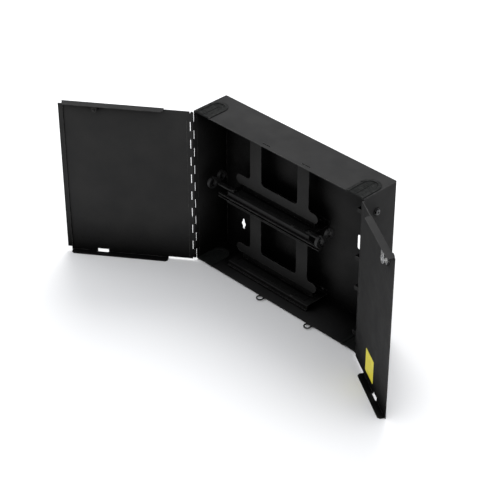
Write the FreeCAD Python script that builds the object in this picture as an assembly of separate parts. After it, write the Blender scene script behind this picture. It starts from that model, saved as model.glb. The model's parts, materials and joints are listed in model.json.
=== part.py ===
import FreeCAD, Part
import math
import os

# Fiber termination box: a shallow wall-mount sheet-metal enclosure with two doors.
# Millimetres. Origin: centre of the back panel's rear face. +X to the right,
# +Y into the wall, +Z up. The front opening faces -Y and both doors stand open.

# ---- driving dimensions -------------------------------------------------
WIDTH = 406.0          # outside of the body, left to right
HEIGHT = 316.0         # outside of the body, bottom to top
DEPTH = 80.0           # outside of the body, wall face to front edge
SHEET = 1.5            # sheet steel of body, doors and brackets
BEND = 2.0             # outer radius of the folded rear edges
FOLD = 1.2             # outer radius of the folds in doors and shelves

LEFT_OPEN = 143.6      # degrees that the left door stands open
RIGHT_OPEN = 149.1     # degrees that the right door stands open
SPLIT_X = 31.6         # where the closed doors meet
SPLIT_GAP = 0.8        # gap between the closed doors
LIP_WIDE = 7.0         # joggled lip on the left door, behind the right door's edge
LIP_GAP = 0.3          # play between the lip and the right door
LIP_Z = (-153.0, 155.0)
DOOR_GAP = 0.6         # gap between the front edges and a closed door

KNUCKLE_R = 2.75       # outside radius of a hinge knuckle
PIN_R = 1.2            # hinge pin radius
PIN_CLEARANCE = 0.05   # radial play of the pin in its knuckles
KNUCKLES = 17          # knuckles in each hinge
KNUCKLE_PITCH = 18.17  # length of one knuckle with its gap
KNUCKLE_GAP = 0.4      # play between neighbouring knuckles
DOOR_SLIT = 0.7        # free space between a body knuckle and the door's sheet
BODY_SLIT = 0.4        # free space between a door knuckle and the body's sheet
LEAF = 6.0             # width of the welded hinge leaf behind the front edge

LEFT_FLANGE = 15.0     # depth of the door flanges that lap over the top and bottom panels
RIGHT_FLANGE = 13.0
FLANGE_GAP = 1.0       # play between a panel and the flange over it
FLANGE_START = 50.0    # from the hinge line to the start of the flanges
FLANGE_CORNER = 4.0    # cut corners of the flanges

# Cam latches. x and drop place the axis, drop being measured from the top panel's
# upper face; collar is how far the round collar stands out of the door, flats the
# size of the nut, arm half the width of the cam. The others are radii.
LEFT_LATCH = {"x": -29.3, "drop": 7.5, "head": 6.0, "collar": 1.6, "barrel": 3.2, "plug": 2.0,
              "screw": 1.0, "flats": 9.0, "hub": 4.75, "arm": 4.75}
RIGHT_LOCK = {"x": 64.0, "drop": 18.0, "head": 7.2, "collar": 8.5, "barrel": 6.0, "plug": 3.5,
              "screw": 1.5, "flats": 19.0, "hub": 8.0, "arm": 6.0}
CAM_TIP = 0.3          # a raised cam stands this far above the top panel
CAM_THICK = 1.6
CAM_Y = 8.1            # from the front edge back to the cam and its slot
CAM_SLOT = (18.4, 2.4)
BARREL_LONG = 9.2      # from the door's outer face to the barrel's inner end
NUT_THICK = 3.2
FIT = 0.05             # radial play between the round parts of a latch

EAR_X = (-29.3, 89.3)  # padlock eyes on the bottom panel's front edge
EAR_R = 7.2
EAR_HOLE_R = 5.0
EAR_REACH = 6.0        # from the front edge to the eye's centre
EAR_SLOT = (21.0, 3.5) # slot in a door for the padlock eye: width, depth in flange
EAR_SLOT_TOP = 4.5     # height of that slot in the door's face, over the body's underside

KEYHOLE_X = 158.0      # keyholes for the wall screws, from the centre
KEYHOLE_Z = (-97.0, 106.2)
KEYHOLE_R = 5.25
KEYHOLE_SLOT = (5.0, 22.0)
REAR_ENTRY = (142.0, 36.0, 30.0, 4.0)  # rear cable opening: x, width, height, corner

ENTRY_X = 181.5        # cable entries in the top and bottom panels
ENTRY_HALF = 16.5      # half width of an entry slot
ENTRY_LONG = 54.0      # from the front edge to the slot's round end
RIM = 2.5              # grommet rim over the sheet
RIM_THICK = 1.2
GROMMET_WALL = 3.0     # grommet wall inside the slot
FLAP_SLIT = 6.0        # slit between the two rubber flaps of an entry
FLAP_THICK = 3.0

SHELF_LEFT = -143.1    # shelves and frames
SHELF_RIGHT = 58.5
SHELF_FRONT = -55.2
UPPER_SHELF_Z = 4.4    # top face of each shelf
LOWER_SHELF_Z = -145.8
UPPER_LIP = 20.3       # height of each shelf's front lip
LOWER_LIP = 9.2
REAR_FLANGE = 8.0
FRAME_Y = -33.7        # front face of the ladder frames
RAIL_LOW = (13.1, 15.2)  # rail above its shelf: upper frame, lower frame
RAIL_HIGH = 18.2
BAR_X = ((-107.6, -80.4), (8.9, 35.7))
FILLET = 8.0
RAIL_SET_BACK = 6.5
UPPER_FRAME_TOP = 142.0
BAND_IN = 12.0         # from a rail's end to the set-back band under it
FOOT_DEPTH = 8.0       # foot of a frame on its shelf
TOP_FOOT_HIGH = 13.0   # upper frame's feet, turned up along the back panel
TOP_TAB_END = -16.0    # rear ends of the lower frame's tabs

BAR_LEFT = -163.0      # slotted lacing bar on the upper shelf's lip
BAR_RIGHT = 86.9
BAR_Z = (-11.2, -4.0)
BAR_DEPTH = 5.0

GUIDE_OUT = 33.0       # from the shelf's end to the guide's rings
RING_DROP_Z = (8.1, 14.2)
RING_Y = (-61.7, -39.4)
RING_R = (11.0, 9.0)
RING_BORE = (6.5, 5.5)
RING_WIDE = 6.0
RING_GAP = 3.0

TAB_TOP = (127.5, 33.0, -28.5, -122.5)  # cable tabs on the right wall
TAB_Y = (-71.6, -60.6)
TAB_REACH = 20.0       # from the wall to the tab's free end
TAB_LIP = 7.0          # turned-down front lip
TAB_FOOT = 14.0        # height of the foot on the wall
TAB_THICK = 1.2

GROUND_YZ = (-48.3, 120.0)
GROUND_HOLE_R = 3.1

LABEL_START = 59.5     # from the right hinge line to the label
LABEL_SIZE = (42.0, 46.5)
LABEL_LOW = -143.5

RIVET_R = 1.6
RIVET_HEAD = 3.0
RIVET_DOME = 1.2
SHELF_RIVET_X = (-130.0, -68.0, -16.0, 46.0)
FOOT_RIVET_X = (-94.0, -42.3, 22.3)
FOOT_RIVET_Y = -21.5
TOP_FOOT_X = (-94.0, 22.3)
TOP_FOOT_Z = 149.0
LACING_RIVET_X = (-125.0, 40.0)
STUD_X = 16.0
STUD_Y = -51.0
GUIDE_RIVET_Y = -47.5
GUIDE_RIVET_IN = 5.5   # from the shelf's end to the guide's rivet

FRONT = -DEPTH
HALF_W = WIDTH / 2
HALF_H = HEIGHT / 2
HINGE_X = HALF_W - SHEET + KNUCKLE_R
HINGE_Y = FRONT - DOOR_GAP - KNUCKLE_R
DOOR_IN = FRONT - DOOR_GAP
DOOR_OUT = DOOR_IN - SHEET
FLANGE_Z = HALF_H + FLANGE_GAP
INSIDE_X = (-HALF_W + SHEET, HALF_W - SHEET)
INSIDE_Z = (-HALF_H + SHEET, HALF_H - SHEET)
DOOR_Z = (-HALF_H + 0.5, HALF_H - 0.5)
HINGE_LOW = -KNUCKLES * KNUCKLE_PITCH / 2
DOME_R = (RIVET_HEAD ** 2 + RIVET_DOME ** 2) / (2 * RIVET_DOME)
GUIDE_RIVET_X = (SHELF_LEFT + GUIDE_RIVET_IN, SHELF_RIGHT - GUIDE_RIVET_IN)

X_AXIS = FreeCAD.Vector(1, 0, 0)
Y_AXIS = FreeCAD.Vector(0, 1, 0)
Z_AXIS = FreeCAD.Vector(0, 0, 1)


# ---- small helpers ------------------------------------------------------
def block(x, y, z):
    """A box from three (low, high) pairs."""
    size = [high - low for low, high in (x, y, z)]
    return Part.makeBox(size[0], size[1], size[2], FreeCAD.Vector(x[0], y[0], z[0]))


def rod(radius, base, direction, length):
    return Part.makeCylinder(radius, length, FreeCAD.Vector(*base), direction)


def tube(radius, bore, base, direction, length):
    return rod(radius, base, direction, length).cut(rod(bore, base, direction, length))


def join(shapes):
    """One solid from shapes that touch or overlap."""
    whole = shapes[0].multiFuse(shapes[1:]) if len(shapes) > 1 else shapes[0]
    return whole.removeSplitter()


def prism(points, direction):
    """A straight prism: a closed outline of points, pushed along a vector."""
    outline = Part.makePolygon([FreeCAD.Vector(*p) for p in points + points[:1]])
    return Part.Face(outline).extrude(FreeCAD.Vector(*direction))


def rounded_plate(x, y, z, radius, axis):
    """A box whose four edges along one axis are rounded."""
    plate = block(x, y, z)
    edges = []
    for edge in plate.Edges:
        run = edge.Vertexes[1].Point.sub(edge.Vertexes[0].Point)
        if abs(run.dot(axis)) > 0.99 * run.Length:
            edges.append(edge)
    return plate.makeFillet(radius, edges)


def mirrored_x(shape):
    return shape.mirror(FreeCAD.Vector(0, 0, 0), X_AXIS)


def folded(shape, y, z):
    """Round the outside of a fold that runs along X at the given y and z."""
    edges = []
    for edge in shape.Edges:
        box = edge.BoundBox
        along = box.XLength > 10 and box.YLength < 0.01 and box.ZLength < 0.01
        if along and abs(box.YMin - y) < 0.01 and abs(box.ZMin - z) < 0.01:
            edges.append(edge)
    return shape.makeFillet(FOLD, edges)


def save(name, solids):
    """Write one sub-part; several separate solids become one group."""
    pieces = []
    for solid in solids:
        pieces.extend(solid.Solids)
    for piece in pieces:
        if not piece.isValid() or piece.Volume <= 0:
            raise ValueError("bad solid in " + name)
    shape = pieces[0] if len(pieces) == 1 else Part.makeCompound(pieces)
    shape.exportStep("parts/" + name + ".step")
    print(name, len(pieces), round(shape.Volume))


def open_left(shape):
    """Swing a closed left-door piece to the angle at which the door stands."""
    moved = shape.copy()
    moved.rotate(FreeCAD.Vector(-HINGE_X, HINGE_Y, 0), Z_AXIS, -LEFT_OPEN)
    return moved


def open_right(shape):
    moved = shape.copy()
    moved.rotate(FreeCAD.Vector(HINGE_X, HINGE_Y, 0), Z_AXIS, RIGHT_OPEN)
    return moved


def knuckle_spans(first):
    """The (low, high) heights of every second knuckle, from the given one."""
    spans = []
    for index in range(first, KNUCKLES, 2):
        low = HINGE_LOW + index * KNUCKLE_PITCH + KNUCKLE_GAP / 2
        spans.append((low, low + KNUCKLE_PITCH - KNUCKLE_GAP))
    return spans


def rivet_y(x, z, front, back):
    """A rivet along Y: a domed head on the front, its shank flush at the back."""
    shank = rod(RIVET_R, (x, front, z), Y_AXIS, back - front)
    ball = Part.makeSphere(DOME_R, FreeCAD.Vector(x, front + DOME_R - RIVET_DOME, z))
    half = block((x - 4, x + 4), (front - 2, front), (z - 4, z + 4))
    return join([shank, ball.common(half)])


def rivet_z(x, y, low, top):
    """A rivet along Z: a domed head on the top, its shank flush underneath."""
    shank = rod(RIVET_R, (x, y, low), Z_AXIS, top - low)
    ball = Part.makeSphere(DOME_R, FreeCAD.Vector(x, y, top - DOME_R + RIVET_DOME))
    half = block((x - 4, x + 4), (y - 4, y + 4), (top, top + 2))
    return join([shank, ball.common(half)])


# ---- body ---------------------------------------------------------------
def entry_outline(side, half, low, high):
    """A cable entry's U shape: open at the front edge, round at the rear."""
    centre = side * ENTRY_X
    round_y = FRONT + ENTRY_LONG - ENTRY_HALF
    straight = block((centre - half, centre + half), (FRONT, round_y), (low, high))
    end = rod(half, (centre, round_y, low), Z_AXIS, high - low)
    return join([straight, end])


def padlock_eye(x):
    """A flat eye that grows out of the bottom panel's front edge."""
    low = -HALF_H
    eye_y = FRONT - EAR_REACH
    base = 3.0
    disc = rod(EAR_R, (x, eye_y, low), Z_AXIS, SHEET)
    neck = block((x - EAR_R, x + EAR_R), (eye_y, FRONT + 1), (low, low + SHEET))
    foot = block((x - EAR_R - base, x + EAR_R + base), (FRONT - base, FRONT + 1), (low, low + SHEET))
    eye = join([disc, neck, foot])
    for side in (-1, 1):
        eye = eye.cut(rod(base, (x + side * (EAR_R + base), FRONT - base, low), Z_AXIS, SHEET))
    return eye.cut(rod(EAR_HOLE_R, (x, eye_y, low), Z_AXIS, SHEET))


def keyhole(x, z):
    """A wall-screw hole: a round middle with a narrow slot above and below."""
    width, tall = KEYHOLE_SLOT
    reach = tall / 2 - width / 2
    middle = rod(KEYHOLE_R, (x, -SHEET - 1, z), Y_AXIS, SHEET + 2)
    slot = block((x - width / 2, x + width / 2), (-SHEET - 1, 1), (z - reach, z + reach))
    ends = [rod(width / 2, (x, -SHEET - 1, z + end), Y_AXIS, SHEET + 2) for end in (-reach, reach)]
    return join([middle, slot] + ends)


def make_body_wrap():
    """The back panel and both side walls, folded from one sheet."""
    outer = block((-HALF_W, HALF_W), (FRONT + LEAF, 0), INSIDE_Z)
    outer = outer.makeFillet(BEND, rear_corners(outer))
    body = outer.cut(block(INSIDE_X, (FRONT, -SHEET), (-HALF_H, HALF_H)))
    for x in (-KEYHOLE_X, KEYHOLE_X):
        for z in KEYHOLE_Z:
            body = body.cut(keyhole(x, z))
    x, wide, tall, corner = REAR_ENTRY
    entry_x = (x - wide / 2, x + wide / 2)
    entry = rounded_plate(entry_x, (-SHEET - 1, 1), (-tall / 2, tall / 2), corner, Y_AXIS)
    body = body.cut(entry)
    y, z = GROUND_YZ
    body = body.cut(rod(GROUND_HOLE_R, (HALF_W - SHEET - 1, y, z), X_AXIS, SHEET + 2))
    for top in (UPPER_SHELF_Z, LOWER_SHELF_Z):
        for x in SHELF_RIVET_X:
            z = top + REAR_FLANGE / 2
            body = body.cut(rod(RIVET_R, (x, -SHEET - 1, z), Y_AXIS, SHEET + 2))
    for x in TOP_FOOT_X:
        body = body.cut(rod(RIVET_R, (x, -SHEET - 1, TOP_FOOT_Z), Y_AXIS, SHEET + 2))
    return body


def rear_corners(outer):
    """The two upright rear edges of a block, where the sheet is folded."""
    return [e for e in outer.Edges if e.BoundBox.YMin > -0.01 and e.BoundBox.ZLength > 1]


def panel_with_entries(low):
    """A top or bottom panel with its two cable entries; low is its underside."""
    panel = block((-HALF_W, HALF_W), (FRONT, 0), (low, low + SHEET))
    panel = panel.makeFillet(BEND, rear_corners(panel))
    for side in (-1, 1):
        cut = entry_outline(side, ENTRY_HALF, low - 1, low + SHEET + 1)
        mouth = cut.translated(FreeCAD.Vector(0, -5, 0))
        panel = panel.cut(join([cut, mouth]))
    return panel


def make_top_panel():
    low = HALF_H - SHEET
    panel = panel_with_entries(low)
    wide, thick = CAM_SLOT
    y = FRONT + CAM_Y
    for latch in (LEFT_LATCH, RIGHT_LOCK):
        slot_x = (latch["x"] - wide / 2, latch["x"] + wide / 2)
        panel = panel.cut(block(slot_x, (y - thick / 2, y + thick / 2), (low - 1, HALF_H + 1)))
    return panel


def make_bottom_panel():
    return join([panel_with_entries(-HALF_H)] + [padlock_eye(x) for x in EAR_X])


# ---- hinges -------------------------------------------------------------
def make_body_leaf():
    """The left hinge leaf that is welded to the left wall's front edge."""
    wall = (-HALF_W, -HALF_W + SHEET)
    edge = HINGE_Y + KNUCKLE_R + BODY_SLIT
    pieces = [block(wall, (edge, FRONT + LEAF), INSIDE_Z)]
    for span in knuckle_spans(1):
        pieces.append(block(wall, (HINGE_Y, edge), span))
        pieces.append(rod(KNUCKLE_R, (-HINGE_X, HINGE_Y, span[0]), Z_AXIS, span[1] - span[0]))
    return bored(join(pieces))


def make_door_leaf():
    """The left hinge leaf that is welded to the closed left door's edge."""
    sheet = (DOOR_OUT, DOOR_IN)
    edge = -HINGE_X + KNUCKLE_R + DOOR_SLIT
    pieces = [block((edge, edge + LEAF), sheet, DOOR_Z)]
    for span in knuckle_spans(0):
        pieces.append(block((-HINGE_X, edge), sheet, span))
        pieces.append(rod(KNUCKLE_R, (-HINGE_X, HINGE_Y, span[0]), Z_AXIS, span[1] - span[0]))
    return bored(join(pieces))


def bored(leaf):
    """Run the pin's hole through all the knuckles of a left leaf."""
    hole = rod(PIN_R + PIN_CLEARANCE, (-HINGE_X, HINGE_Y, -HALF_H), Z_AXIS, HEIGHT)
    return leaf.cut(hole)


def make_pin():
    """A left hinge pin with a low head at each end."""
    low = HINGE_LOW
    high = -HINGE_LOW
    shaft = rod(PIN_R, (-HINGE_X, HINGE_Y, low - 1), Z_AXIS, high - low + 2)
    heads = [rod(2.1, (-HINGE_X, HINGE_Y, z), Z_AXIS, 1.2) for z in (low - 1.2, high)]
    return join([shaft] + heads)


# ---- doors --------------------------------------------------------------
def flange_plate(near, far, depth, low, ear_x, side):
    """A door flange with cut corners; near and far are its ends along X."""
    inner = DOOR_OUT + depth
    cut = FLANGE_CORNER
    step = cut if far > near else -cut
    outline = [(near, DOOR_OUT, low), (far, DOOR_OUT, low), (far, inner - cut, low)]
    outline += [(far - step, inner, low), (near + step, inner, low), (near, inner - cut, low)]
    plate = prism(outline, (0, 0, SHEET))
    if side < 0:
        wide, deep = EAR_SLOT
        slot_x = (ear_x - wide / 2, ear_x + wide / 2)
        slot = rounded_plate(slot_x, (DOOR_OUT - 2, DOOR_OUT + deep), (low - 1, low + SHEET + 1), 2.0, Z_AXIS)
        plate = plate.cut(slot)
    return plate


def on_axis(latch, radius, y, long):
    """A rod along a latch's axis, from y towards the wall."""
    return rod(radius, (latch["x"], y, HALF_H - latch["drop"]), Y_AXIS, long)


def make_door(hinge, free, depth, latch, ear_x):
    """A closed door from its leaf to its free edge, with both lapping flanges."""
    away = 1 if free > hinge else -1
    leaf_edge = hinge + away * (KNUCKLE_R + DOOR_SLIT + LEAF)
    start = hinge + away * FLANGE_START
    near_part = block(sorted((leaf_edge, start)), (DOOR_OUT, DOOR_IN), DOOR_Z)
    tall = FLANGE_Z + SHEET
    main_part = block(sorted((start, free)), (DOOR_OUT, DOOR_IN), (-tall, tall))
    flange_end = free - away * 2.0
    top = flange_plate(start, flange_end, depth, FLANGE_Z, ear_x, 1)
    bottom = flange_plate(start, flange_end, depth, -tall, ear_x, -1)
    door = join([near_part, main_part, top, bottom])
    door = folded(folded(door, DOOR_OUT, tall), DOOR_OUT, -tall)
    slot_x = (ear_x - EAR_SLOT[0] / 2, ear_x + EAR_SLOT[0] / 2)
    slot_z = (-tall - 1, -HALF_H + EAR_SLOT_TOP)
    door = door.cut(block(slot_x, (DOOR_OUT - 1, DOOR_IN + 0.01), slot_z))
    return door.cut(on_axis(latch, latch["barrel"] + FIT, DOOR_OUT - 1, SHEET + 2))


def make_left_door():
    """The wide door; its free edge steps inward to a lip behind the other door."""
    free = SPLIT_X - SPLIT_GAP / 2
    door = make_door(-HINGE_X, free, LEFT_FLANGE, LEFT_LATCH, EAR_X[0])
    lip_y = (DOOR_IN + LIP_GAP, DOOR_IN + LIP_GAP + SHEET)
    step = block((free - SHEET, free), (DOOR_IN - 0.5, lip_y[1]), LIP_Z)
    lip = block((free - SHEET, free + LIP_WIDE), lip_y, LIP_Z)
    return join([door, step, lip])


def make_right_door():
    return make_door(HINGE_X, SPLIT_X + SPLIT_GAP / 2, RIGHT_FLANGE, RIGHT_LOCK, EAR_X[1])


# ---- latch and lock -----------------------------------------------------
def hexagon(x, z, flats, low_y, thick):
    corner = flats / math.sqrt(3)
    points = []
    for turn in range(6):
        angle = math.radians(60 * turn)
        points.append((x + corner * math.cos(angle), low_y, z + corner * math.sin(angle)))
    return prism(points, (0, thick, 0))


def drilled(piece, latch, radius):
    """A latch piece with a round hole through it along the latch axis."""
    return piece.cut(on_axis(latch, radius + FIT, DOOR_OUT - 20, 40))


def round_collar(latch):
    """The collar outside the door, with a rounded front edge."""
    front = DOOR_OUT - latch["collar"]
    collar = on_axis(latch, latch["head"], front, latch["collar"])
    return collar.makeFillet(0.8, [e for e in collar.Edges if e.BoundBox.YMax < front + 0.1])


def make_latch_barrel(latch):
    """A round collar outside the door and a tube through it, in one piece."""
    tube = on_axis(latch, latch["barrel"], DOOR_OUT, BARREL_LONG)
    return drilled(join([round_collar(latch), tube]), latch, latch["plug"])


def make_lock_barrel(latch):
    """The lock's tube, from just inside its collar's front face to the cam."""
    long = latch["collar"] - 0.5 + BARREL_LONG
    tube = on_axis(latch, latch["barrel"], DOOR_OUT + BARREL_LONG - long, long)
    return drilled(tube, latch, latch["plug"])


def latch_nut(latch):
    nut = hexagon(latch["x"], HALF_H - latch["drop"], latch["flats"], DOOR_IN, NUT_THICK)
    return drilled(nut, latch, latch["barrel"])


def cam(latch):
    """The turning cam, pointing up: a round hub with an arm."""
    low = FRONT + CAM_Y - CAM_THICK / 2
    reach = latch["drop"] + CAM_TIP
    hub = on_axis(latch, latch["hub"], low, CAM_THICK)
    arm_x = (latch["x"] - latch["arm"], latch["x"] + latch["arm"])
    arm = block(arm_x, (low, low + CAM_THICK), (HALF_H - latch["drop"], HALF_H + CAM_TIP))
    arm = arm.common(on_axis(latch, reach, low, CAM_THICK))
    return drilled(join([hub, arm]), latch, latch["screw"])


def cam_screw(latch):
    """The screw that holds the cam on the end of the turning plug."""
    back = FRONT + CAM_Y + CAM_THICK / 2
    head_r = latch["screw"] * 1.9
    head = on_axis(latch, head_r, back, 1.6)
    head = head.makeFillet(0.6, [e for e in head.Edges if e.BoundBox.YMin > back + 1.5])
    shank = on_axis(latch, latch["screw"], back - 4.5, 4.6)
    half, z = head_r - 0.6, HALF_H - latch["drop"]
    recess = block((latch["x"] - 0.4, latch["x"] + 0.4), (back + 1.0, back + 2), (z - half, z + half))
    return join([head, shank]).cut(recess)


def plug_shaft(latch, front):
    """The turning shaft inside a latch, from a front face back to the cam."""
    back = FRONT + CAM_Y - CAM_THICK / 2
    shaft = on_axis(latch, latch["plug"], front, back - front)
    return shaft.cut(on_axis(latch, latch["screw"] + FIT, back - 3.4, 4))


def lock_plug(latch):
    front = DOOR_OUT - latch["collar"] + 0.8
    x, z = latch["x"], HALF_H - latch["drop"]
    keyway = block((x - 0.5, x + 0.5), (front - 1, front + 5), (z - 2.4, z + 2.4))
    return plug_shaft(latch, front).cut(keyway)


def latch_knob(latch):
    """A low turn knob: a round base with a finger bar across it."""
    front = DOOR_OUT - latch["collar"]
    x, z = latch["x"], HALF_H - latch["drop"]
    base = on_axis(latch, latch["head"] - 0.6, front - 2.2, 2.0)
    grip = rounded_plate((x - 1.6, x + 1.6), (front - 4.6, front - 2.0), (z - 5.0, z + 5.0), 1.2, Y_AXIS)
    return join([base, grip, plug_shaft(latch, front - 1.0)])


# ---- cable entries ------------------------------------------------------
def make_grommet(side, level):
    """A rubber edge grommet round one cable entry; level is +1 top, -1 bottom."""
    low = HALF_H - SHEET
    wide = entry_outline(side, ENTRY_HALF + RIM, low - RIM_THICK, HALF_H + RIM_THICK)
    groove = entry_outline(side, ENTRY_HALF + RIM + 1, low, HALF_H)
    web = entry_outline(side, ENTRY_HALF, low, HALF_H)
    hole = entry_outline(side, ENTRY_HALF - GROMMET_WALL, low - 5, HALF_H + 5)
    grommet = wide.cut(groove).fuse(web).cut(hole).removeSplitter()
    keep = block(INSIDE_X, (FRONT, 0), (0, HALF_H))
    above = block((-HALF_W, HALF_W), (FRONT, 0), (HALF_H - 0.5, HALF_H + 5))
    grommet = grommet.common(join([keep, above]))
    return grommet if level > 0 else grommet.mirror(FreeCAD.Vector(0, 0, 0), Z_AXIS)


def make_flaps(side, level):
    """Two facing rubber flaps that close an entry round its cables."""
    middle = HALF_H - SHEET / 2
    half = ENTRY_HALF - GROMMET_WALL
    flaps = entry_outline(side, half, middle - FLAP_THICK / 2, middle + FLAP_THICK / 2)
    centre = side * ENTRY_X
    slit_x = (centre - FLAP_SLIT / 2, centre + FLAP_SLIT / 2)
    flaps = flaps.cut(block(slit_x, (FRONT - 1, 0), (0, HALF_H + 5)))
    return flaps if level > 0 else flaps.mirror(FreeCAD.Vector(0, 0, 0), Z_AXIS)


# ---- shelves and frames -------------------------------------------------
def make_shelf(top, lip, guide_x):
    """A folded shelf: front lip down with a small toe, rear flange up."""
    x = (SHELF_LEFT, SHELF_RIGHT)
    back = -SHEET
    plate = block(x, (SHELF_FRONT, back), (top - SHEET, top))
    front = block(x, (SHELF_FRONT, SHELF_FRONT + SHEET), (top - lip, top))
    toe = block(x, (SHELF_FRONT - 3.0, SHELF_FRONT + SHEET), (top - lip, top - lip + SHEET))
    rear = block(x, (back - SHEET, back), (top - SHEET, top + REAR_FLANGE))
    shelf = folded(join([plate, front, toe, rear]), SHELF_FRONT, top)
    for rivet_x in SHELF_RIVET_X:
        z = top + REAR_FLANGE / 2
        shelf = shelf.cut(rod(RIVET_R, (rivet_x, back - SHEET - 1, z), Y_AXIS, SHEET + 2))
    for rivet_x in FOOT_RIVET_X:
        shelf = shelf.cut(rod(RIVET_R, (rivet_x, FOOT_RIVET_Y, top - SHEET - 1), Z_AXIS, SHEET + 2))
    shelf = shelf.cut(rod(RIVET_R, (STUD_X, STUD_Y, top - SHEET - 1), Z_AXIS, SHEET + 2))
    for rivet_x in guide_x:
        shelf = shelf.cut(rod(RIVET_R, (rivet_x, GUIDE_RIVET_Y, top - SHEET - 1), Z_AXIS, SHEET + 2))
    return shelf


def make_frame(shelf_top, rail_low, top, foot_back):
    """A ladder frame: a rail with round ends and two bars, on a set-back foot.

    The bars' upper ends fold back. With foot_back they reach the back panel and
    turn up along it; otherwise they end as short tabs under the shelf above.
    """
    y = (FRAME_Y, FRAME_Y + SHEET)
    low = shelf_top + rail_low
    shoulder = low + RAIL_HIGH
    rail_end = RAIL_HIGH / 2 - 0.05
    pieces = [rounded_plate((SHELF_LEFT, SHELF_RIGHT), y, (low, shoulder), rail_end, Y_AXIS)]
    for left, right in BAR_X:
        pieces.append(block((left, right), y, (low + 1, top)))
        for edge, side in ((left, -1), (right, 1)):
            centre = edge + side * FILLET
            square = block(sorted((edge, centre)), y, (shoulder - 1, shoulder + FILLET))
            round_cut = rod(FILLET, (centre, y[0] - 1, shoulder + FILLET), Y_AXIS, SHEET + 2)
            pieces.append(square.cut(round_cut))
    set_back = FRAME_Y + RAIL_SET_BACK
    band_x = (SHELF_LEFT + BAND_IN, SHELF_RIGHT - BAND_IN)
    pieces.append(block(band_x, (FRAME_Y, set_back), (low, low + SHEET)))
    pieces.append(block(band_x, (set_back - SHEET, set_back), (shelf_top, low + SHEET)))
    pieces.append(block(band_x, (set_back - SHEET, set_back + FOOT_DEPTH), (shelf_top, shelf_top + SHEET)))
    for left, right in BAR_X:
        if foot_back:
            pieces.append(block((left, right), (FRAME_Y, -SHEET), (top - SHEET, top)))
            pieces.append(block((left, right), (-2 * SHEET, -SHEET), (top - SHEET, top + TOP_FOOT_HIGH)))
        else:
            pieces.append(block((left, right), (FRAME_Y, TOP_TAB_END), (top - SHEET, top)))
    frame = join(pieces)
    for x in FOOT_RIVET_X:
        frame = frame.cut(rod(RIVET_R, (x, FOOT_RIVET_Y, shelf_top - 1), Z_AXIS, SHEET + 2))
    if foot_back:
        for x in TOP_FOOT_X:
            frame = frame.cut(rod(RIVET_R, (x, -2 * SHEET - 1, TOP_FOOT_Z), Y_AXIS, SHEET + 2))
    return frame


def make_pad(top):
    """A strip of hook-and-loop pad on a shelf, between its front edge and frame."""
    x = (SHELF_LEFT + 14.0, SHELF_RIGHT - 14.0)
    return rounded_plate(x, (SHELF_FRONT + 7.5, FRAME_Y - 1.0), (top, top + 1.2), 2.0, Z_AXIS)


def make_lacing_bar():
    """A small channel, open to the front, that carries fibre ties."""
    x = (BAR_LEFT, BAR_RIGHT)
    y = (SHELF_FRONT - BAR_DEPTH, SHELF_FRONT)
    channel = block(x, y, BAR_Z)
    groove = block((x[0] - 1, x[1] + 1), (y[0] - 1, y[1] - 1.2), (BAR_Z[0] + 1.2, BAR_Z[1] - 1.2))
    channel = channel.cut(groove)
    middle = sum(BAR_Z) / 2
    for bar_x in LACING_RIVET_X:
        channel = channel.cut(rod(1.0, (bar_x, y[1] - 2, middle), Y_AXIS, 4))
    return channel


def make_lacing_rivets():
    middle = sum(BAR_Z) / 2
    rivets = []
    for x in LACING_RIVET_X:
        head = rod(1.9, (x, SHELF_FRONT - 2.2, middle), Y_AXIS, 1.0)
        shank = rod(1.0, (x, SHELF_FRONT - 1.3, middle), Y_AXIS, 1.3)
        rivets.append(join([head, shank]))
    return rivets


def make_guide(side, top):
    """A fibre guide: two open rings side by side on an arm from the shelf's end."""
    end = SHELF_LEFT if side < 0 else SHELF_RIGHT
    centre = end + side * GUIDE_OUT
    ring_x = centre - RING_WIDE / 2
    pieces = []
    holes = []
    for y, up, outer, bore in zip(RING_Y, RING_DROP_Z, RING_R, RING_BORE):
        z = top + up
        pieces.append(rod(outer, (ring_x, y, z), X_AXIS, RING_WIDE))
        holes.append(rod(bore, (ring_x - 1, y, z), X_AXIS, RING_WIDE + 2))
        gap_x = (ring_x - 1, ring_x + RING_WIDE + 1)
        gap_y = (y - RING_GAP / 2, y + RING_GAP / 2)
        holes.append(block(gap_x, gap_y, (z, z + outer + 1)))
    web_y = (RING_Y[0] + 6, RING_Y[1] - 4)
    web = block((ring_x, ring_x + RING_WIDE), web_y, (top + 1.0, top + 12.0))
    arm = block(sorted((centre, end - side * 11.0)), (-51.5, -43.5), (top, top + 3.0))
    guide = join(pieces + [web, arm])
    for hole in holes:
        guide = guide.cut(hole)
    rivet_x = GUIDE_RIVET_X[0] if side < 0 else GUIDE_RIVET_X[1]
    return guide.cut(rod(RIVET_R, (rivet_x, GUIDE_RIVET_Y, top - 1), Z_AXIS, 6))


# ---- right wall ---------------------------------------------------------
def make_wall_tab(top):
    """An angle tab that holds cables against the right wall."""
    wall = HALF_W - SHEET
    x = (wall - TAB_REACH, wall)
    shelf = rounded_plate(x, TAB_Y, (top - TAB_THICK, top), TAB_THICK * 0.8, Z_AXIS)
    shelf = join([shelf, block((wall - 3, wall), TAB_Y, (top - TAB_THICK, top))])
    lip = block((x[0] + 1.0, wall), (TAB_Y[0], TAB_Y[0] + TAB_THICK), (top - TAB_LIP, top - 0.2))
    foot = block((wall - TAB_THICK, wall), TAB_Y, (top - TAB_FOOT, top))
    return join([shelf, lip, foot])


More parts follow.
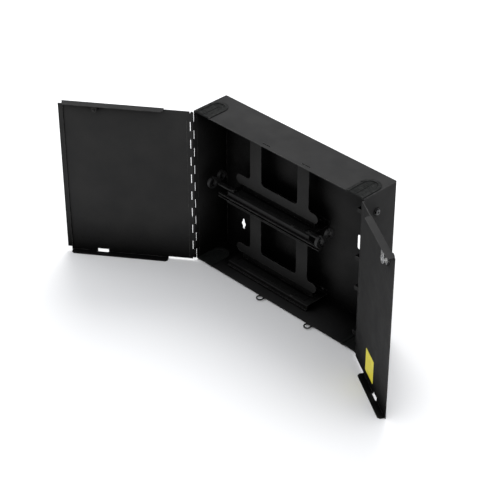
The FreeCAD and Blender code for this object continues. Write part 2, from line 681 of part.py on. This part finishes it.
def make_ground_screw():
    y, z = GROUND_YZ
    head = rod(5.4, (HALF_W + 1.2, y, z), X_AXIS, 3.4)
    head = head.makeFillet(1.6, [e for e in head.Edges if e.BoundBox.XMin > HALF_W + 4.5])
    shank = rod(3.0, (HALF_W - 11, y, z), X_AXIS, 12.3)
    cross = join([block((HALF_W + 2.9, HALF_W + 6), (y - 3, y + 3), (z - 0.6, z + 0.6)),
                  block((HALF_W + 2.9, HALF_W + 6), (y - 0.6, y + 0.6), (z - 3, z + 3))])
    return join([head, shank]).cut(cross)


def make_ground_washer():
    y, z = GROUND_YZ
    return tube(6.0, 3.1, (HALF_W, y, z), X_AXIS, 1.2)


def make_ground_nut():
    y, z = GROUND_YZ
    corner = 10.0 / math.sqrt(3)
    base = HALF_W - SHEET - 5.0
    points = []
    for turn in range(6):
        angle = math.radians(60 * turn)
        points.append((base, y + corner * math.cos(angle), z + corner * math.sin(angle)))
    return prism(points, (5.0, 0, 0)).cut(rod(3.05, (base - 1, y, z), X_AXIS, 7))


def make_label():
    """A plain yellow label on the right door's inner face."""
    near = HINGE_X - LABEL_START
    x = (near - LABEL_SIZE[0], near)
    z = (LABEL_LOW, LABEL_LOW + LABEL_SIZE[1])
    return rounded_plate(x, (DOOR_IN, DOOR_IN + 0.3), z, 2.0, Y_AXIS)


# ---- fasteners in groups ------------------------------------------------
def shelf_rivets(top):
    front = -2 * SHEET
    return [rivet_y(x, top + REAR_FLANGE / 2, front, 0) for x in SHELF_RIVET_X]


def frame_rivets(top):
    return [rivet_z(x, FOOT_RIVET_Y, top - SHEET, top + SHEET) for x in FOOT_RIVET_X]


def guide_rivets():
    low = UPPER_SHELF_Z - SHEET
    return [rivet_z(x, GUIDE_RIVET_Y, low, UPPER_SHELF_Z + 3.0) for x in GUIDE_RIVET_X]


# ---- write every sub-part ----------------------------------------------
os.makedirs("parts", exist_ok=True)

save("body_wrap", [make_body_wrap()])
save("top_panel", [make_top_panel()])
save("bottom_panel", [make_bottom_panel()])

body_leaf = make_body_leaf()
door_leaf = make_door_leaf()
pin = make_pin()
save("left_hinge_body_leaf", [body_leaf])
save("left_hinge_door_leaf", [open_left(door_leaf)])
save("left_hinge_pin", [pin])
save("right_hinge_body_leaf", [mirrored_x(body_leaf)])
save("right_hinge_door_leaf", [open_right(mirrored_x(door_leaf))])
save("right_hinge_pin", [mirrored_x(pin)])

save("left_door", [open_left(make_left_door())])
save("latch_barrel", [open_left(make_latch_barrel(LEFT_LATCH))])
save("latch_nut", [open_left(latch_nut(LEFT_LATCH))])
save("latch_knob", [open_left(latch_knob(LEFT_LATCH))])
save("latch_cam", [open_left(cam(LEFT_LATCH))])
save("latch_cam_screw", [open_left(cam_screw(LEFT_LATCH))])

save("right_door", [open_right(make_right_door())])
lock_collar = drilled(round_collar(RIGHT_LOCK), RIGHT_LOCK, RIGHT_LOCK["barrel"])
save("lock_collar", [open_right(lock_collar)])
save("lock_barrel", [open_right(make_lock_barrel(RIGHT_LOCK))])
save("lock_nut", [open_right(latch_nut(RIGHT_LOCK))])
save("lock_plug", [open_right(lock_plug(RIGHT_LOCK))])
save("lock_cam", [open_right(cam(RIGHT_LOCK))])
save("lock_cam_screw", [open_right(cam_screw(RIGHT_LOCK))])
save("blank_label", [open_right(make_label())])

for side, side_name in ((-1, "left"), (1, "right")):
    for level, level_name in ((1, "top"), (-1, "bottom")):
        save("grommet_" + level_name + "_" + side_name, [make_grommet(side, level)])
        save("entry_flaps_" + level_name + "_" + side_name, [make_flaps(side, level)])

save("upper_shelf", [make_shelf(UPPER_SHELF_Z, UPPER_LIP, GUIDE_RIVET_X)])
save("lower_shelf", [make_shelf(LOWER_SHELF_Z, LOWER_LIP, ())])
for name, top in (("upper", UPPER_SHELF_Z), ("lower", LOWER_SHELF_Z)):
    save(name + "_shelf_pad", [make_pad(top)])
    save(name + "_shelf_rivets", shelf_rivets(top))
    save(name + "_frame_rivets", frame_rivets(top))

save("upper_frame", [make_frame(UPPER_SHELF_Z, RAIL_LOW[0], UPPER_FRAME_TOP, True)])
save("lower_frame", [make_frame(LOWER_SHELF_Z, RAIL_LOW[1], UPPER_SHELF_Z - SHEET, False)])
save("top_foot_rivets", [rivet_y(x, TOP_FOOT_Z, -2 * SHEET, 0) for x in TOP_FOOT_X])
save("guide_left", [make_guide(-1, UPPER_SHELF_Z)])
save("guide_right", [make_guide(1, UPPER_SHELF_Z)])
save("guide_rivets", guide_rivets())
shelf_tops = (UPPER_SHELF_Z, LOWER_SHELF_Z)
save("shelf_studs", [rivet_z(STUD_X, STUD_Y, top - SHEET, top) for top in shelf_tops])
save("lacing_bar", [make_lacing_bar()])
save("lacing_bar_rivets", make_lacing_rivets())

for number, top in enumerate(TAB_TOP, 1):
    save("wall_tab_" + str(number), [make_wall_tab(top)])
save("ground_screw", [make_ground_screw()])
save("ground_washer", [make_ground_washer()])
save("ground_nut", [make_ground_nut()])
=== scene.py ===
import bpy
import json
import math
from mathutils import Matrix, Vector, noise


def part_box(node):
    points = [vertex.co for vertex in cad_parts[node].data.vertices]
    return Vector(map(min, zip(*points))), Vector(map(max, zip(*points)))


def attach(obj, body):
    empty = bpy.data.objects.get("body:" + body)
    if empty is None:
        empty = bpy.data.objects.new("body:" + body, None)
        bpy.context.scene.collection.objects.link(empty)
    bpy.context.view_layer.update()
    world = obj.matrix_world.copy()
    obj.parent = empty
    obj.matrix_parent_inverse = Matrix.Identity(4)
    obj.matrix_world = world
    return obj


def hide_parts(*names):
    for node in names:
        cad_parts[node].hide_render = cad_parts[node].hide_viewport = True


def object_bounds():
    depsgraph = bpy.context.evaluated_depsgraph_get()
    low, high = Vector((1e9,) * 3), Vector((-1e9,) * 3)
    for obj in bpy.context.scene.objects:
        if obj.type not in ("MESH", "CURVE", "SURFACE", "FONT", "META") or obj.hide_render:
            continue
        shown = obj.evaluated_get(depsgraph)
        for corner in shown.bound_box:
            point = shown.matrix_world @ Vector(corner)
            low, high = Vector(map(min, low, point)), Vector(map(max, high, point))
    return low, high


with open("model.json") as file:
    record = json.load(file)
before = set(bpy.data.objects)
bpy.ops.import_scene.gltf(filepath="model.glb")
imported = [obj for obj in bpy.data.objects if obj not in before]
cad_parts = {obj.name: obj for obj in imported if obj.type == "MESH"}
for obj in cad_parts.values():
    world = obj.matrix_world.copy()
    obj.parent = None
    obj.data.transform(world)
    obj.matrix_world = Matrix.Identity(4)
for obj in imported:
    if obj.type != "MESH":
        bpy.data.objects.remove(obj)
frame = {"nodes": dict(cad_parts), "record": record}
CAD_LOW, CAD_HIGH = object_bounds()
NODES = frame["nodes"]
RECORD = frame["record"]
SLOT_OF = {part["node"]: part["material_slot"] for part in RECORD["subparts"]}
JOINTS = {joint["name"]: joint for joint in RECORD["behaviour"]["joints"]}
MM = 0.001

# ---- camera, light and floor --------------------------------------------
VIEW_AZIMUTH = math.radians(45.50)
VIEW_ELEVATION = math.radians(34.52)
VIEW_DISTANCE = 2.95
VIEW_AIM = Vector((-0.0660, -0.0752, -0.0757))
LENS = 118.2
FLOOR_DROP = 0.0004
FLOOR_HALF = 12.0
SKY_LOW = 0.85
SKY_HIGH = 1.15
SKY_FULL_AT = 0.8      # height in the sky's unit sphere where it is fully bright
SKY_LOW_TINT = (1.0, 0.985, 0.955)
SKY_HIGH_TINT = (0.965, 0.985, 1.03)
FLOOR_GREY = 0.90


def out_from(aim, azimuth, elevation, distance):
    """A point at a distance from the aim, in the direction of a viewing angle."""
    flat = math.cos(elevation)
    back = Vector((math.sin(azimuth) * flat, -math.cos(azimuth) * flat, math.sin(elevation)))
    return aim + back * distance


def aimed(obj, place, aim):
    """Put a camera or light into the scene, turned towards a point."""
    obj.location = place
    obj.rotation_mode = "QUATERNION"
    obj.rotation_quaternion = (aim - place).to_track_quat("-Z", "Y")
    bpy.context.scene.collection.objects.link(obj)
    return obj


def make_camera():
    data = bpy.data.cameras.new("camera")
    data.lens = LENS
    data.sensor_width = 36.0
    camera = bpy.data.objects.new("camera", data)
    place = out_from(VIEW_AIM, VIEW_AZIMUTH, VIEW_ELEVATION, VIEW_DISTANCE)
    bpy.context.scene.camera = aimed(camera, place, VIEW_AIM)


def soft_light(name, azimuth, elevation, distance, size, power):
    """A round area light: angles in degrees, distance and size in metres, power in watts."""
    data = bpy.data.lights.new(name, "AREA")
    data.shape = "DISK"
    data.size = size
    data.energy = power
    light = bpy.data.objects.new(name, data)
    place = out_from(Vector((0, 0, 0)), math.radians(azimuth), math.radians(elevation), distance)
    aimed(light, place, Vector((0, 0, 0)))


def make_world():
    """A white studio sky that is a little dimmer near the horizon."""
    world = bpy.data.worlds.new("studio")
    world.use_nodes = True
    nodes, links = world.node_tree.nodes, world.node_tree.links
    place = nodes.new("ShaderNodeTexCoord")
    split = nodes.new("ShaderNodeSeparateXYZ")
    height = nodes.new("ShaderNodeMapRange")
    height.inputs["From Min"].default_value = 0.0
    height.inputs["From Max"].default_value = SKY_FULL_AT
    height.inputs["To Min"].default_value = SKY_LOW
    height.inputs["To Max"].default_value = SKY_HIGH
    tint = nodes.new("ShaderNodeValToRGB")
    tint.color_ramp.elements[0].color = (*SKY_LOW_TINT, 1)
    tint.color_ramp.elements[1].color = (*SKY_HIGH_TINT, 1)
    links.new(place.outputs["Generated"], split.inputs["Vector"])
    links.new(split.outputs["Z"], height.inputs["Value"])
    links.new(split.outputs["Z"], tint.inputs["Fac"])
    links.new(height.outputs["Result"], nodes["Background"].inputs["Strength"])
    links.new(tint.outputs["Color"], nodes["Background"].inputs["Color"])
    bpy.context.scene.world = world
    bpy.context.scene.view_settings.view_transform = "Standard"


def make_floor():
    data = bpy.data.meshes.new("floor")
    level = CAD_LOW.z - FLOOR_DROP
    signs = ((-1, -1), (1, -1), (1, 1), (-1, 1))
    corners = [(x * FLOOR_HALF, y * FLOOR_HALF, level) for x, y in signs]
    data.from_pydata(corners, [], [(0, 1, 2, 3)])
    floor = bpy.data.objects.new("floor", data)
    bpy.context.scene.collection.objects.link(floor)
    material = bpy.data.materials.new("floor_pale")
    material.use_nodes = True
    shader = material.node_tree.nodes["Principled BSDF"]
    shader.inputs["Base Color"].default_value = (FLOOR_GREY, FLOOR_GREY, FLOOR_GREY, 1)
    shader.inputs["Roughness"].default_value = 0.9
    data.materials.append(material)


# ---- materials ----------------------------------------------------------
class Finish:
    """A procedural material, built up step by step from noise in the object's own space."""

    def __init__(self, name, roughness, metallic=0.0, specular=0.5):
        self.material = bpy.data.materials.new(name)
        self.material.use_nodes = True
        self.nodes = self.material.node_tree.nodes
        self.links = self.material.node_tree.links
        self.shader = self.nodes["Principled BSDF"]
        self.shader.inputs["Roughness"].default_value = roughness
        self.shader.inputs["Metallic"].default_value = metallic
        self.shader.inputs["Specular IOR Level"].default_value = specular
        self.place = self.nodes.new("ShaderNodeTexCoord")
        self.base = None
        self.rough = None
        self.last_bump = None

    def grain(self, size, detail=3.0, stretch=(1, 1, 1)):
        """Noise with features of about the given size in metres; returns its socket."""
        mapping = self.nodes.new("ShaderNodeMapping")
        mapping.inputs["Scale"].default_value = stretch
        texture = self.nodes.new("ShaderNodeTexNoise")
        texture.inputs["Scale"].default_value = 1.0 / size
        texture.inputs["Detail"].default_value = detail
        self.links.new(self.place.outputs["Object"], mapping.inputs["Vector"])
        self.links.new(mapping.outputs["Vector"], texture.inputs["Vector"])
        return texture.outputs["Fac"]

    def cells(self, size):
        """Rounded cells of about the given size in metres."""
        texture = self.nodes.new("ShaderNodeTexVoronoi")
        texture.inputs["Scale"].default_value = 1.0 / size
        self.links.new(self.place.outputs["Object"], texture.inputs["Vector"])
        return texture.outputs["Distance"]

    def spread(self, value, low, high, start=0.35, end=0.65):
        """A value from start to end, stretched to run from low to high."""
        ranged = self.nodes.new("ShaderNodeMapRange")
        ranged.inputs["From Min"].default_value = start
        ranged.inputs["From Max"].default_value = end
        ranged.inputs["To Min"].default_value = low
        ranged.inputs["To Max"].default_value = high
        self.links.new(value, ranged.inputs["Value"])
        return ranged.outputs["Result"]

    def colour(self, value, dark, light, start=0.35, end=0.65):
        """Base colour that drifts between two shades with a value."""
        ramp = self.nodes.new("ShaderNodeValToRGB")
        ramp.color_ramp.elements[0].position = start
        ramp.color_ramp.elements[0].color = (*dark, 1)
        ramp.color_ramp.elements[1].position = end
        ramp.color_ramp.elements[1].color = (*light, 1)
        self.links.new(value, ramp.inputs["Fac"])
        self.base = ramp.outputs["Color"]
        self.links.new(self.base, self.shader.inputs["Base Color"])

    def roughness(self, value, low, high):
        self.rough = self.spread(value, low, high)
        self.links.new(self.rough, self.shader.inputs["Roughness"])

    def bump(self, value, height, strength=1.0):
        """Relief of a given height in metres, added to any earlier relief."""
        bump = self.nodes.new("ShaderNodeBump")
        bump.inputs["Distance"].default_value = height
        bump.inputs["Strength"].default_value = strength
        self.links.new(value, bump.inputs["Height"])
        if self.last_bump:
            self.links.new(self.last_bump, bump.inputs["Normal"])
        self.last_bump = bump.outputs["Normal"]
        self.links.new(self.last_bump, self.shader.inputs["Normal"])

    def paint_hollow_shade(self, reach, left_over, specular):
        """Painted shade: darker colour and duller gloss in hollows, by an occlusion value, since the
        lights alone leave them too bright.
        """
        hollow = self.nodes.new("ShaderNodeAmbientOcclusion")
        hollow.samples = 8
        hollow.inputs["Distance"].default_value = reach
        share = self.spread(hollow.outputs["AO"], left_over, 1.0, 0.50, 0.93)
        gloss = self.spread(share, 0.0, specular, 0.0, 1.0)
        self.links.new(gloss, self.shader.inputs["Specular IOR Level"])
        darker = self.nodes.new("ShaderNodeVectorMath")
        darker.operation = "SCALE"
        self.links.new(self.base, darker.inputs[0])
        self.links.new(share, darker.inputs["Scale"])
        self.base = darker.outputs["Vector"]
        self.links.new(self.base, self.shader.inputs["Base Color"])

    def edge_highlight_and_wear(self, width, light, rub):
        """Painted highlight on edges, in patches like rubbed wear: lighter colour and smoother where
        the surface turns a corner.
        """
        bevel = self.nodes.new("ShaderNodeBevel")
        bevel.samples = 4
        bevel.inputs["Radius"].default_value = width
        geometry = self.nodes.new("ShaderNodeNewGeometry")
        dot = self.nodes.new("ShaderNodeVectorMath")
        dot.operation = "DOT_PRODUCT"
        self.links.new(bevel.outputs["Normal"], dot.inputs[0])
        self.links.new(geometry.outputs["Normal"], dot.inputs[1])
        edge = self.spread(dot.outputs["Value"], 1.0, 0.0, 0.80, 0.99)
        highlight_and_wear_mask = self.nodes.new("ShaderNodeMath")
        highlight_and_wear_mask.operation = "MULTIPLY"
        self.links.new(edge, highlight_and_wear_mask.inputs[0])
        self.links.new(self.spread(self.grain(0.012), 0.15, 1.0), highlight_and_wear_mask.inputs[1])
        mix = self.nodes.new("ShaderNodeMix")
        mix.data_type = "RGBA"
        self.links.new(highlight_and_wear_mask.outputs["Value"], mix.inputs["Factor"])
        self.links.new(self.base, mix.inputs["A"])
        mix.inputs["B"].default_value = (*light, 1)
        self.links.new(mix.outputs["Result"], self.shader.inputs["Base Color"])
        less = self.nodes.new("ShaderNodeMath")
        less.operation = "MULTIPLY_ADD"
        self.links.new(highlight_and_wear_mask.outputs["Value"], less.inputs[0])
        less.inputs[1].default_value = -rub
        self.links.new(self.rough, less.inputs[2])
        self.links.new(less.outputs["Value"], self.shader.inputs["Roughness"])


def powder_coat():
    finish = Finish("black_powder_coat", 0.56, specular=0.03)
    finish.colour(finish.grain(0.05), (0.0235, 0.0235, 0.0237), (0.0275, 0.0273, 0.0271))
    finish.roughness(finish.grain(0.03, 4.0), 0.50, 0.62)
    # painted shade: deep hollows get a darker colour and less gloss
    finish.paint_hollow_shade(0.12, 0.06, 0.03)
    finish.bump(finish.grain(0.0045, 2.0), 0.00010, 0.5)
    finish.bump(finish.grain(0.0011, 2.0), 0.00005, 0.6)
    # painted edge highlight: lighter colour on edges, in rubbed patches
    finish.edge_highlight_and_wear(0.0007, (0.120, 0.118, 0.115), 0.10)
    return finish.material


def bright_zinc():
    finish = Finish("zinc", 0.25, metallic=1.0)
    finish.colour(finish.grain(0.004), (0.38, 0.39, 0.40), (0.56, 0.56, 0.55))
    finish.roughness(finish.grain(0.002), 0.16, 0.34)
    finish.bump(finish.grain(0.0006, 2.0, (1, 1, 6)), 0.00002, 0.5)
    # painted edge highlight: lighter colour on edges, in rubbed patches
    finish.edge_highlight_and_wear(0.0003, (0.70, 0.70, 0.69), 0.05)
    return finish.material


def dark_steel():
    finish = Finish("dark_steel", 0.4, metallic=1.0)
    finish.colour(finish.grain(0.003), (0.05, 0.05, 0.053), (0.09, 0.09, 0.09))
    finish.roughness(finish.grain(0.002), 0.30, 0.48)
    finish.bump(finish.grain(0.0007, 2.0, (6, 6, 1)), 0.00002, 0.5)
    # painted edge highlight: lighter colour on edges, in rubbed patches
    finish.edge_highlight_and_wear(0.0003, (0.20, 0.195, 0.19), 0.06)
    return finish.material


def soft_rubber():
    finish = Finish("black_rubber", 0.7, specular=0.12)
    finish.colour(finish.grain(0.007), (0.0038, 0.0042, 0.0040), (0.0064, 0.0071, 0.0067))
    finish.roughness(finish.grain(0.004), 0.60, 0.82)
    finish.bump(finish.grain(0.0012), 0.00006, 0.5)
    # painted edge highlight: lighter colour on edges, in rubbed patches
    finish.edge_highlight_and_wear(0.0006, (0.018, 0.020, 0.019), 0.05)
    return finish.material


def moulded_plastic():
    finish = Finish("black_plastic", 0.5, specular=0.3)
    finish.colour(finish.grain(0.012), (0.0030, 0.0030, 0.0032), (0.0060, 0.0060, 0.0060))
    finish.roughness(finish.grain(0.006), 0.44, 0.58)
    finish.bump(finish.cells(0.0009), 0.00003, 0.4)
    # painted edge highlight: lighter colour on edges, in rubbed patches
    finish.edge_highlight_and_wear(0.0004, (0.035, 0.035, 0.035), 0.06)
    return finish.material


def loop_fabric():
    finish = Finish("pad", 0.95, specular=0.08)
    finish.colour(finish.grain(0.002, 5.0), (0.0015, 0.0015, 0.0015), (0.0060, 0.0060, 0.0060))
    finish.roughness(finish.grain(0.003), 0.85, 1.0)
    finish.bump(finish.cells(0.0008), 0.0003, 0.9)
    finish.bump(finish.grain(0.0004, 2.0, (1, 4, 1)), 0.0001, 0.6)
    return finish.material


def label_film():
    finish = Finish("yellow_label", 0.4)
    finish.colour(finish.grain(0.02), (0.66, 0.57, 0.008), (0.76, 0.67, 0.014))
    finish.roughness(finish.grain(0.005), 0.32, 0.46)
    finish.bump(finish.grain(0.009, 2.0), 0.00008, 0.5)
    finish.bump(finish.grain(0.0009, 2.0), 0.00001, 0.4)
    # painted edge highlight: lighter colour on edges
    finish.edge_highlight_and_wear(0.0006, (0.82, 0.78, 0.30), 0.0)
    return finish.material


MATERIALS = {
    "black_powder_coat": powder_coat(),
    "zinc": bright_zinc(),
    "dark_steel": dark_steel(),
    "black_rubber": soft_rubber(),
    "black_plastic": moulded_plastic(),
    "pad": loop_fabric(),
    "yellow_label": label_film(),
}

# ---- CAD nodes: finish and rounded edges --------------------------------
EDGE_RADIUS = {
    "black_powder_coat": 0.30 * MM,
    "zinc": 0.15 * MM,
    "dark_steel": 0.15 * MM,
    "black_rubber": 0.35 * MM,
    "black_plastic": 0.35 * MM,
    "yellow_label": 0.05 * MM,
}
EDGE_ANGLE = math.radians(40)


def dress_node(name, obj):
    """Give a CAD node its material and small rounded edges that catch the light."""
    kind = SLOT_OF[name]
    obj.data.materials.clear()
    obj.data.materials.append(MATERIALS[kind])
    if kind not in EDGE_RADIUS:
        return
    weld = obj.modifiers.new("weld", "WELD")
    weld.merge_threshold = 0.002 * MM
    bevel = obj.modifiers.new("round", "BEVEL")
    bevel.width = EDGE_RADIUS[kind]
    bevel.segments = 2
    bevel.limit_method = "ANGLE"
    bevel.angle_limit = EDGE_ANGLE
    bevel.use_clamp_overlap = True
    bevel.harden_normals = True


# ---- pieces -------------------------------------------------------------
def add_piece(name, points, faces, kind, body):
    data = bpy.data.meshes.new(name)
    data.from_pydata([tuple(p) for p in points], [], faces)
    data.update()
    for face in data.polygons:
        face.use_smooth = True
    data.materials.append(MATERIALS[kind])
    piece = bpy.data.objects.new(name, data)
    bpy.context.scene.collection.objects.link(piece)
    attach(piece, body)
    return piece


def grid_faces(rows, columns, first=0, flip=False):
    """Quads over a grid of points stored row by row."""
    faces = []
    for row in range(rows - 1):
        for column in range(columns - 1):
            a = first + row * columns + column
            quad = (a, a + 1, a + columns + 1, a + columns)
            faces.append(quad[::-1] if flip else quad)
    return faces


def shell(top, bottom, rows, columns):
    """A closed skin: two matching grids of points and the rim between them."""
    count = rows * columns
    faces = grid_faces(rows, columns) + grid_faces(rows, columns, count, True)
    rim = list(range(columns))
    rim += [row * columns + columns - 1 for row in range(1, rows)]
    rim += [(rows - 1) * columns + column for column in range(columns - 2, -1, -1)]
    rim += [row * columns for row in range(rows - 2, 0, -1)]
    for index, here in enumerate(rim):
        after = rim[(index + 1) % len(rim)]
        faces.append((after, here, here + count, after + count))
    return top + bottom, faces


FLAP_HALF_THICK = 0.8 * MM
FLAP_THINNING = 0.35   # share of its thickness that a flap loses towards the slit
FLAP_SAG = 0.6 * MM    # how far its free edge hangs down
FLAP_GAP = 0.25 * MM   # half the slit, and the play at the outer wall
RIB_HEIGHT = 0.55 * MM
RIB_PITCH = 3.3 * MM
ACROSS = 37            # points across a flap, along its straight part and round its end
ALONG = 14
ROUND = 15


def flap_points(centre_x, round_y, front_y, half, side):
    """Plan positions of one flap's grid, with each point's distance from the outer wall."""
    columns = []
    for step in range(ALONG):
        y = front_y + (round_y - front_y) * step / ALONG
        columns.append((y, 0.0))
    for step in range(ROUND):
        columns.append((round_y, math.pi / 2 * step / (ROUND - 1)))
    points = []
    for y, angle in columns:
        for step in range(ACROSS):
            inward = (half - FLAP_GAP) * step / (ACROSS - 1)
            radius = half - inward
            x = max(radius * math.cos(angle), FLAP_GAP)
            points.append((centre_x + side * x, y + radius * math.sin(angle), inward))
    return points, len(columns)


def make_flaps(level_name, side_name):
    """Two ribbed rubber flaps that meet along a slit and close a cable entry."""
    node = "entry_flaps_" + level_name + "_" + side_name
    low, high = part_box(node)
    half = (high.x - low.x) / 2
    middle_x = (low.x + high.x) / 2
    middle_z = (low.z + high.z) / 2
    up = 1 if level_name == "top" else -1
    points, faces = [], []
    for side in (-1, 1):
        plan, rows = flap_points(middle_x, high.y - half, low.y, half, side)
        top, bottom = [], []
        for x, y, inward in plan:
            rib = RIB_HEIGHT * (0.5 - 0.5 * math.cos(2 * math.pi * inward / RIB_PITCH))
            sag = FLAP_SAG * (inward / half) ** 2
            thick = FLAP_HALF_THICK * (1.0 - FLAP_THINNING * inward / half)
            top.append(Vector((x, y, middle_z + up * (thick + rib - sag))))
            bottom.append(Vector((x, y, middle_z - up * (thick + sag))))
        skin, skin_faces = shell(top, bottom, rows, ACROSS)
        start = len(points)
        points += skin
        turned = side * up > 0
        for face in skin_faces:
            moved = tuple(start + corner for corner in face)
            faces.append(moved if turned else moved[::-1])
    name = "rubber_flaps_" + level_name + "_" + side_name
    piece = add_piece(name, points, faces, "black_rubber", "enclosure")
    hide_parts(node)


PAD_CELL = 0.9 * MM    # spacing of the points over a pad
PAD_LOOP = 0.35 * MM   # height of the loops on top
PAD_RIM = (0.55, 0.85, 1.0)  # share of the full height, from the rim inwards
PAD_WAVE = 0.25 * MM   # how far the long edges wander
WAVES = (60, 5)        # how fast they wander along and across the pad
TUFT_STEP = 0.9        # tufts per cell
TUFT_LAYER = 3.7


def make_pad(node):
    """A strip of loop fabric with a knobbly top and soft, slightly uneven edges."""
    low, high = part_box(node)
    columns = int((high.x - low.x) / PAD_CELL) + 1
    rows = int((high.y - low.y) / PAD_CELL) + 1
    top, bottom = [], []
    for row in range(rows):
        for column in range(columns):
            u, v = column / (columns - 1), row / (rows - 1)
            wave = noise.noise(Vector((u * WAVES[0], v * WAVES[1], low.z / MM)))
            x = low.x + (high.x - low.x) * u
            y = low.y + (high.y - low.y) * v + PAD_WAVE * wave * (1 - abs(2 * v - 1))
            rim = min(column, columns - 1 - column, row, rows - 1 - row)
            edge = PAD_RIM[min(rim, 2)]
            tuft = noise.noise(Vector((x / PAD_CELL * TUFT_STEP, y / PAD_CELL * TUFT_STEP, TUFT_LAYER)))
            thick = (high.z - low.z - PAD_LOOP) * edge + PAD_LOOP * (0.5 + 0.5 * tuft) * edge
            top.append(Vector((x, y, low.z + thick)))
            bottom.append(Vector((x, y, low.z)))
    points, faces = shell(top, bottom, rows, columns)
    piece = add_piece(node + "_fabric", points, faces, "pad", "enclosure")
    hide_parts(node)


THREAD_STEPS = 36      # sections per turn of a thread
THREAD_FADE = 9        # sections over which a thread rises from nothing at each end
THREAD_SUNK = 0.05 * MM  # how deep its root lies in the metal
THREAD_ROOT = 0.42     # half its width at the root and at the crest, in pitches
THREAD_CREST = 0.10


def make_thread(name, origin, along, radius, height, pitch, start, end, kind, body):
    """A screw thread: a helical ridge round an axis, tapering out at both ends."""
    along = Vector(along).normalized()
    side_a = along.orthogonal().normalized()
    side_b = along.cross(side_a)
    steps = int((end - start) / pitch * THREAD_STEPS)
    points, faces = [], []
    for step in range(steps + 1):
        angle = 2 * math.pi * step / THREAD_STEPS
        out = side_a * math.cos(angle) + side_b * math.sin(angle)
        centre = Vector(origin) + along * (start + (end - start) * step / steps)
        fade = min(1.0, step / THREAD_FADE, (steps - step) / THREAD_FADE)
        root = radius - THREAD_SUNK
        crest = root + (height + THREAD_SUNK) * max(fade, 0.05)
        points.append(centre + out * root - along * pitch * THREAD_ROOT)
        points.append(centre + out * crest - along * pitch * THREAD_CREST)
        points.append(centre + out * crest + along * pitch * THREAD_CREST)
        points.append(centre + out * root + along * pitch * THREAD_ROOT)
    for step in range(steps):
        a = step * 4
        for edge in range(4):
            after = (edge + 1) % 4
            faces.append((a + edge, a + after, a + 4 + after, a + 4 + edge))
    faces.append((3, 2, 1, 0))
    last = steps * 4
    faces.append((last, last + 1, last + 2, last + 3))
    return add_piece(name, points, faces, kind, body)


BARREL_THREAD = (-5.2 * MM, -1.4 * MM)  # from the cam plane towards the door
# latch, barrel radius, thread height, pitch, material and body
BARRELS = (
    ("latch", 3.2 * MM, 0.25 * MM, 0.8 * MM, "black_plastic", "left_door_body"),
    ("lock", 6.0 * MM, 0.35 * MM, 0.9 * MM, "zinc", "right_door_body"),
)
GROUND_THREAD = (3.0 * MM, 0.2 * MM, 1.0 * MM)  # radius, height, pitch


def make_barrel_threads():
    """The threads on both latch barrels, between the nut and the cam."""
    start, end = BARREL_THREAD
    for latch, radius, height, pitch, kind, body in BARRELS:
        name = latch + "_barrel_thread"
        joint = JOINTS[latch + "_turn"]
        place, axis = joint["pos_m"], joint["axis"]
        make_thread(name, place, axis, radius, height, pitch, start, end, kind, body)


def make_ground_thread():
    """The thread on the ground screw's free end, inside the right wall."""
    screw_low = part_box("ground_screw")[0]
    nut_low, nut_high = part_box("ground_nut")
    centre = (0.0, (nut_low.y + nut_high.y) / 2, (nut_low.z + nut_high.z) / 2)
    start = screw_low.x + 0.8 * MM
    end = nut_low.x - 0.5 * MM
    radius, height, pitch = GROUND_THREAD
    make_thread(
        "ground_screw_thread", centre, (1, 0, 0), radius, height, pitch, start, end, "zinc", "enclosure"
    )


# ---- the whole scene ----------------------------------------------------
make_camera()
make_world()
make_floor()
soft_light("back_light", azimuth=225, elevation=50, distance=3.5, size=2.4, power=72)
soft_light("front_light", azimuth=8, elevation=22, distance=3.0, size=1.6, power=2)

for name, obj in NODES.items():
    dress_node(name, obj)
for level_name in ("top", "bottom"):
    for side_name in ("left", "right"):
        make_flaps(level_name, side_name)
for node in ("upper_shelf_pad", "lower_shelf_pad"):
    make_pad(node)
make_barrel_threads()
make_ground_thread()
